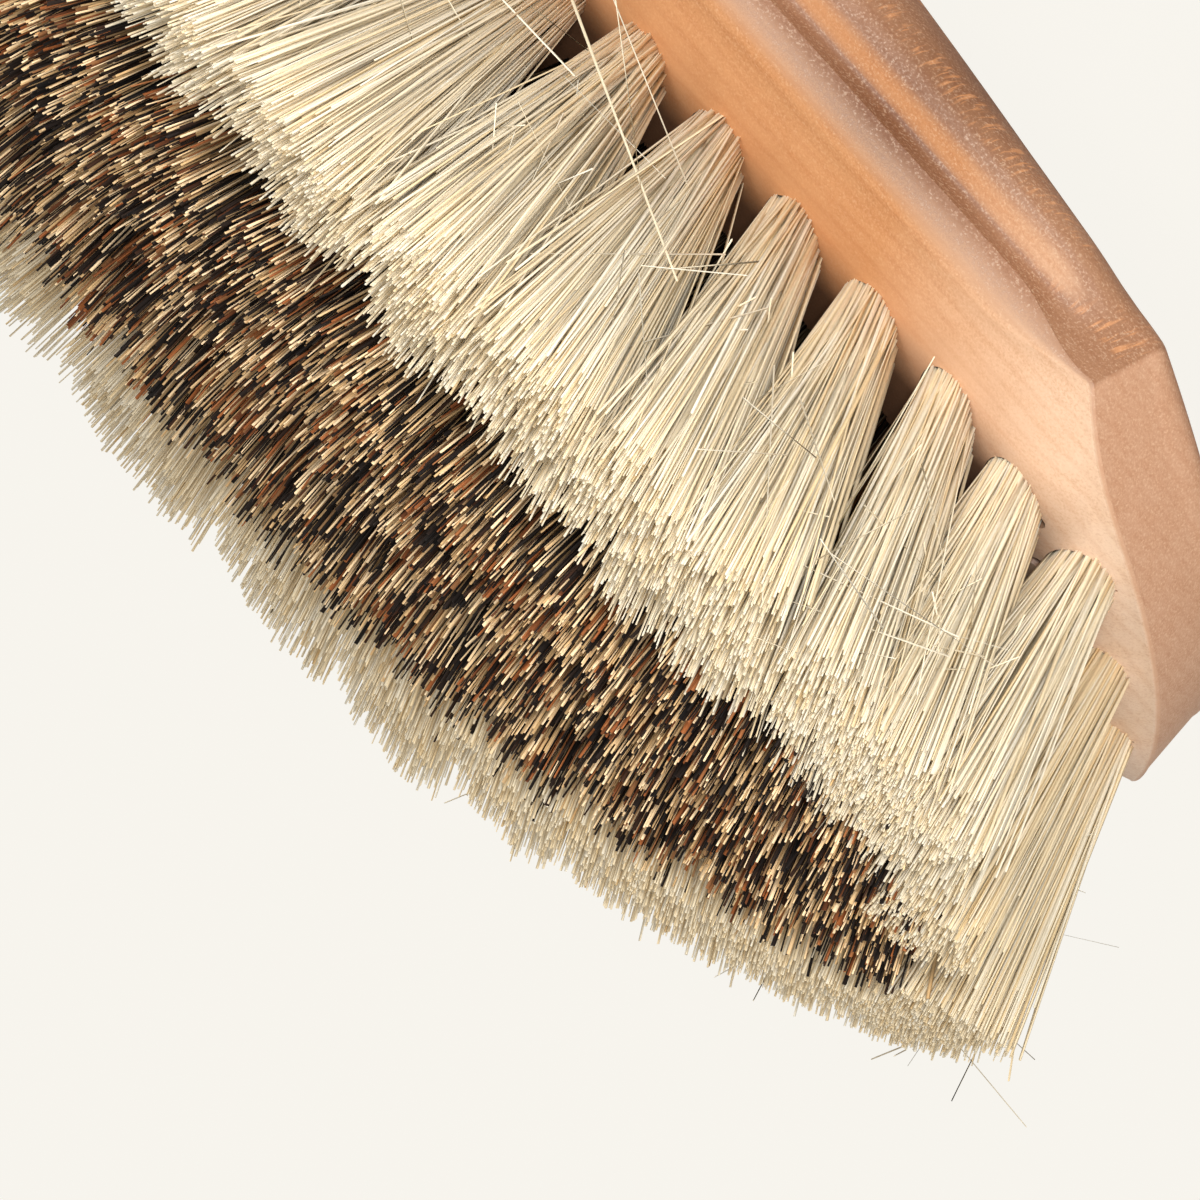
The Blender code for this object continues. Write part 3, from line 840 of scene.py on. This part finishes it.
class DANDYBRUSH_OT_block(bpy.types.Operator):
    """Model the drilled wooden block"""

    bl_idname = "dandy_brush.block"
    bl_label = "Block"

    def execute(self, context):
        block = wrap_block()
        drill_block(block)
        only(block)
        bpy.ops.object.shade_smooth_by_angle(angle=math.radians(32))
        finish(block, wood_material(), "beech", "block")
        return {"FINISHED"}


class DANDYBRUSH_OT_rim(bpy.types.Operator):
    """Model the bundles of pale fibre round the rim"""

    bl_idname = "dandy_brush.rim"
    bl_label = "Rim tufts"

    def execute(self, context):
        bristles = settings().bristles
        pattern = strand_pattern(3, 6)
        material = pale_fibre_material(bpy.data.node_groups.get("Fibre shade") or fibre_group())
        core = 34
        for number, (name, x, y) in enumerate(rim_places()):
            chance = np.random.default_rng(1000 + number)
            count = bristles.pale_count + core
            kind = chance.random(count)
            end = end_share(x)
            bow = (np.abs(chance.normal(0, 0.9 * MM, count)) + np.where(kind < 0.18, 2.2 * MM, 0)) * (1 - 0.6 * end**2)
            loose = np.where(kind > 0.9, 2.6, 1.3) * (1 - 0.6 * end**2) * (1 if y < 0 else 0.3) * MM
            locks, drift = (26, 0.12) if y < 0 else (60, 0.05)
            cut = np.where(chance.random(count) < 0.6, chance.uniform(0, 0.09, count), 0)
            cut = np.where(chance.random(count) < 0.08, chance.uniform(0.05, 0.3, count), cut)
            bow[:core], loose[:core], cut[:core] = 0, 0, chance.uniform(0.12, 0.2, core)
            along = 7.5 - 5.1 * end**2 + 3.5 * (1 - end) ** 4 + 2.2 * smooth((end - 0.8) / 0.14)
            spread = np.array((along, (10.6 if y < 0 else 7.8) - (4.6 if y < 0 else 3.4) * end**2)) * MM
            paths = tuft_paths(x, y, rim_lean(x, y), count, core, 6, chance, spread, loose, locks, drift, bow, cut)
            paths = keep_trim(paths)
            width = bristles.pale_width * chance.uniform(0.55, 1.4, (count, 1))
            width[:core] = 1.25 * MM
            widths = width * np.array((1.6, 1.35, 1.15, 1.05, 1.0, 0.95, 0.85))
            flats = chance.uniform(0.7, 1, count)
            # The far side's fibres take darker tones: painted shade on the tufts turned away from the light.
            tones = chance.beta(*((3.6, 1.7) if y < 0 else (2.4, 2.0)), count)
            tones[:core] = chance.uniform(0.55, 0.8, core)
            piece = strands_piece(name.replace("tuft", "bristles"), pattern, paths, widths, flats, tones)
            finish(piece, material, "pale_fibre", name)
        return {"FINISHED"}


class DANDYBRUSH_OT_middle(bpy.types.Operator):
    """Model the three rows of brown fibre in the middle"""

    bl_idname = "dandy_brush.middle"
    bl_label = "Middle rows"

    def execute(self, context):
        bristles = settings().bristles
        pattern = strand_pattern(3, 3)
        material = brown_fibre_material(bpy.data.node_groups.get("Fibre shade") or fibre_group())
        for name, row in (("centre_row_near", NEAR), ("centre_row_middle", MIDDLE), ("centre_row_far", FAR)):
            groups = []
            for number, (x, y) in enumerate(row_places(row)):
                chance = np.random.default_rng(3000 + 100 * row + number)
                count = bristles.brown_count
                bow = np.abs(chance.normal(0, 1.1 * MM, count))
                cut = np.where(chance.random(count) < 0.75, chance.uniform(0, 0.11, count), 0)
                loose = np.where(chance.random(count) < 0.15, 2.4, 1.1) * MM
                spread = np.array((7.0 - 3.2 * end_share(x) ** 2, 9.4 - 5.5 * end_share(x) ** 2)) * MM
                paths = tuft_paths(x, y, row_lean(x, row), count, 0, 3, chance, spread, loose, 26, 0.12, bow, cut)
                paths = keep_trim(paths)
                near = np.argmin(np.linalg.norm(paths[:, None, -1, :2] - paths[None, ::9, -1, :2], axis=2), axis=1)
                kind = np.where(chance.random(count) < 0.45, chance.random(count)[near], chance.random(count))
                # The dark share is larger than the black fibres alone: it also paints the shade in the gaps between the
                # fibres.
                dark, rust = kind < 0.42, (kind >= 0.42) & (kind < 0.54)
                wide = chance.random(count) < np.where(rust, 0.4, np.where(dark, 0.3, 0.04))
                width = bristles.brown_width * np.where(wide, chance.uniform(1.4, 2.1, count), chance.uniform(0.65, 1.25, count))
                widths = width[:, None] * np.linspace(1.0, 0.95, 4)
                flats = np.where(wide, chance.uniform(0.25, 0.45, count), chance.uniform(0.45, 0.9, count))
                tones = np.where(dark, chance.uniform(0, 0.3, count), 0.62 + 0.38 * chance.beta(0.9, 0.7, count))
                tones = np.where(rust, chance.uniform(0.4, 0.6, count), tones)
                groups.append((paths, widths, flats, tones))
            joined = [np.concatenate(parts) for parts in zip(*groups)]
            piece = strands_piece(name.replace("row", "bristles"), pattern, *joined)
            finish(piece, material, "brown_fibre", name)
        return {"FINISHED"}


class DANDYBRUSH_OT_strays(bpy.types.Operator):
    """Model the loose hairs that curl out of the rim tufts"""

    bl_idname = "dandy_brush.strays"
    bl_label = "Loose hairs"

    def stray(self, chance, start, heading, steps, length, turn):
        """A thin curl whose turn drifts as it goes."""
        path = [start]
        for _ in range(steps):
            path.append(path[-1] + heading * length / steps)
            turn = turn + chance.normal(0, 14, 3)
            heading = heading + np.cross(turn, heading) * length / steps
            heading /= np.linalg.norm(heading)
        return np.array(path)

    def execute(self, context):
        chance = np.random.default_rng(77)
        steps = 20
        pattern = strand_pattern(3, steps)
        low = np.array((-106, -50, 24)) * MM
        paths = []
        for _, x, y in rim_places():
            place = hole_frame(x, y, rim_lean(x, y))
            axis = np.array((*rim_lean(x, y), 1))
            axis /= np.linalg.norm(axis)
            out = np.array((0.3 * np.sign(x) * end_share(x), np.sign(y), 0))
            wanted = len(paths) + 8
            while len(paths) < wanted:
                height = chance.uniform(8, 28)
                start = np.array(place.translation) + axis * height * MM
                start += out * (3.4 + 0.25 * height + chance.uniform(0, 1.5)) * MM
                start += np.array((chance.uniform(-1, 1) * (3 + 0.15 * height) * MM, 0, 0))
                heading = axis * chance.uniform(0.1, 1.1) + chance.normal(0, 0.5, 3)
                heading /= np.linalg.norm(heading)
                turn = chance.normal(0, 1, 3) + 0.8 * out
                turn *= chance.uniform(70, 240) / np.linalg.norm(turn)
                path = self.stray(chance, start, heading, steps, chance.uniform(13, 38) * MM, turn)
                if (path > low).all() and (path[:, :2] < -low[:2]).all():
                    paths.append(path)
        first, last = np.array((-35.5, -32, 28.9)) * MM, np.array((-65.1, -32, 38.4)) * MM
        way = np.linspace(0, 1, steps + 1)[:, None]
        paths.append(first + (last - first) * way + np.array((0, -0.4, 0.5)) * MM * np.sin(np.pi * way))
        paths = keep_trim(np.array(paths))
        count = len(paths)
        width = chance.uniform(0.15, 0.22, (count, 1)) * MM
        width[-1] = 0.3 * MM
        widths = width * np.linspace(1, 0.7, steps + 1)
        tones = chance.uniform(0.6, 1, count)
        piece = strands_piece("loose_hairs", pattern, paths, widths, np.ones(count), tones)
        finish(piece, bpy.data.materials["pale plant fibre"], "pale_fibre")
        return {"FINISHED"}


class DANDYBRUSH_OT_stage(bpy.types.Operator):
    """Set the pale floor, the backdrop light and the lamps"""

    bl_idname = "dandy_brush.stage"
    bl_label = "Studio"

    def execute(self, context):
        colours = settings().colours
        deselect()
        bpy.ops.mesh.primitive_plane_add(size=6)
        floor = named("floor")
        material, build, shader = new_material("pale floor")
        shader.inputs["Base Color"].default_value = (*colours.floor, 1)
        shader.inputs["Roughness"].default_value = 0.9
        shader.inputs["Specular IOR Level"].default_value = 0.1
        path = build.add("ShaderNodeLightPath")
        glow = build.add("ShaderNodeEmission")
        glow.inputs["Color"].default_value = (*colours.floor, 1)
        blend = build.add("ShaderNodeMixShader")
        build.link(build.maths("MULTIPLY", path.outputs["Is Camera Ray"], 0.97), blend.inputs[0])
        build.link(shader.outputs[0], blend.inputs[1])
        build.link(glow.outputs[0], blend.inputs[2])
        output = material.node_tree.nodes["Material Output"]
        build.link(blend.outputs[0], output.inputs["Surface"])
        floor.data.materials.append(material)

        world = bpy.data.worlds.new("studio")
        world.use_nodes = True
        context.scene.world = world
        tree = Tree(world.node_tree)
        sky = world.node_tree.nodes["Background"]
        sky.inputs["Color"].default_value = (1.0, 0.98, 0.95, 1)
        sky.inputs["Strength"].default_value = 0.56
        seen = tree.add("ShaderNodeBackground")
        seen.inputs["Color"].default_value = (*colours.floor, 1)
        seen.inputs["Strength"].default_value = 1
        path = tree.add("ShaderNodeLightPath")
        share = tree.add("ShaderNodeMixShader")
        seen_by = tree.maths("MAXIMUM", path.outputs["Is Camera Ray"], path.outputs["Is Glossy Ray"])
        seen_by = tree.maths("MAXIMUM", seen_by, path.outputs["Is Transmission Ray"])
        tree.link(seen_by, share.inputs[0])
        tree.link(sky.outputs[0], share.inputs[1])
        tree.link(seen.outputs[0], share.inputs[2])
        tree.link(share.outputs[0], world.node_tree.nodes["World Output"].inputs["Surface"])

        middle = Vector((0, 0, 30 * MM))
        for name, spot, size, power in (
            ("key lamp", (-0.98, -1.1, 0.40), 0.9, 6.5),
            ("low lamp", (-0.75, -1.25, 0.17), 0.3, 12.0),
            ("side lamp", (0.6, -1.15, 0.22), 0.5, 9.0),
        ):
            data = bpy.data.lights.new(name, "AREA")
            data.size = size
            data.energy = power
            lamp = bpy.data.objects.new(name, data)
            lamp.location = spot
            lamp.rotation_euler = (Vector(spot) - middle).to_track_quat("Z", "Y").to_euler()
            context.scene.collection.objects.link(lamp)
        context.scene.view_settings.view_transform = "Standard"
        return {"FINISHED"}


class DANDYBRUSH_PT_panel(bpy.types.Panel):
    """Lists the brush's settings and pieces"""

    bl_label = "Dandy brush"
    bl_idname = "DANDYBRUSH_PT_panel"
    bl_space_type = "VIEW_3D"
    bl_region_type = "UI"
    bl_category = "Dandy brush"

    def draw(self, context):
        for group in (settings().block, settings().bristles, settings().colours):
            box = self.layout.box()
            for name in group.__annotations__:
                box.prop(group, name)
        for operator in OPERATORS:
            self.layout.operator(operator.bl_idname)


OPERATORS = (
    DANDYBRUSH_OT_camera,
    DANDYBRUSH_OT_block,
    DANDYBRUSH_OT_rim,
    DANDYBRUSH_OT_middle,
    DANDYBRUSH_OT_strays,
    DANDYBRUSH_OT_stage,
)
CLASSES = (BlockSizes, BristleSizes, BrushColours, BrushSettings, *OPERATORS, DANDYBRUSH_PT_panel)


def register():
    for cls in CLASSES:
        bpy.utils.register_class(cls)
    bpy.types.Scene.dandy_brush = PointerProperty(type=BrushSettings)


def unregister():
    del bpy.types.Scene.dandy_brush
    for cls in reversed(CLASSES):
        bpy.utils.unregister_class(cls)


def main():
    register()
    bpy.ops.dandy_brush.camera()
    bpy.ops.dandy_brush.block()
    bpy.ops.dandy_brush.rim()
    bpy.ops.dandy_brush.middle()
    bpy.ops.dandy_brush.strays()
    bpy.ops.dandy_brush.stage()


if __name__ == "__main__":
    main()
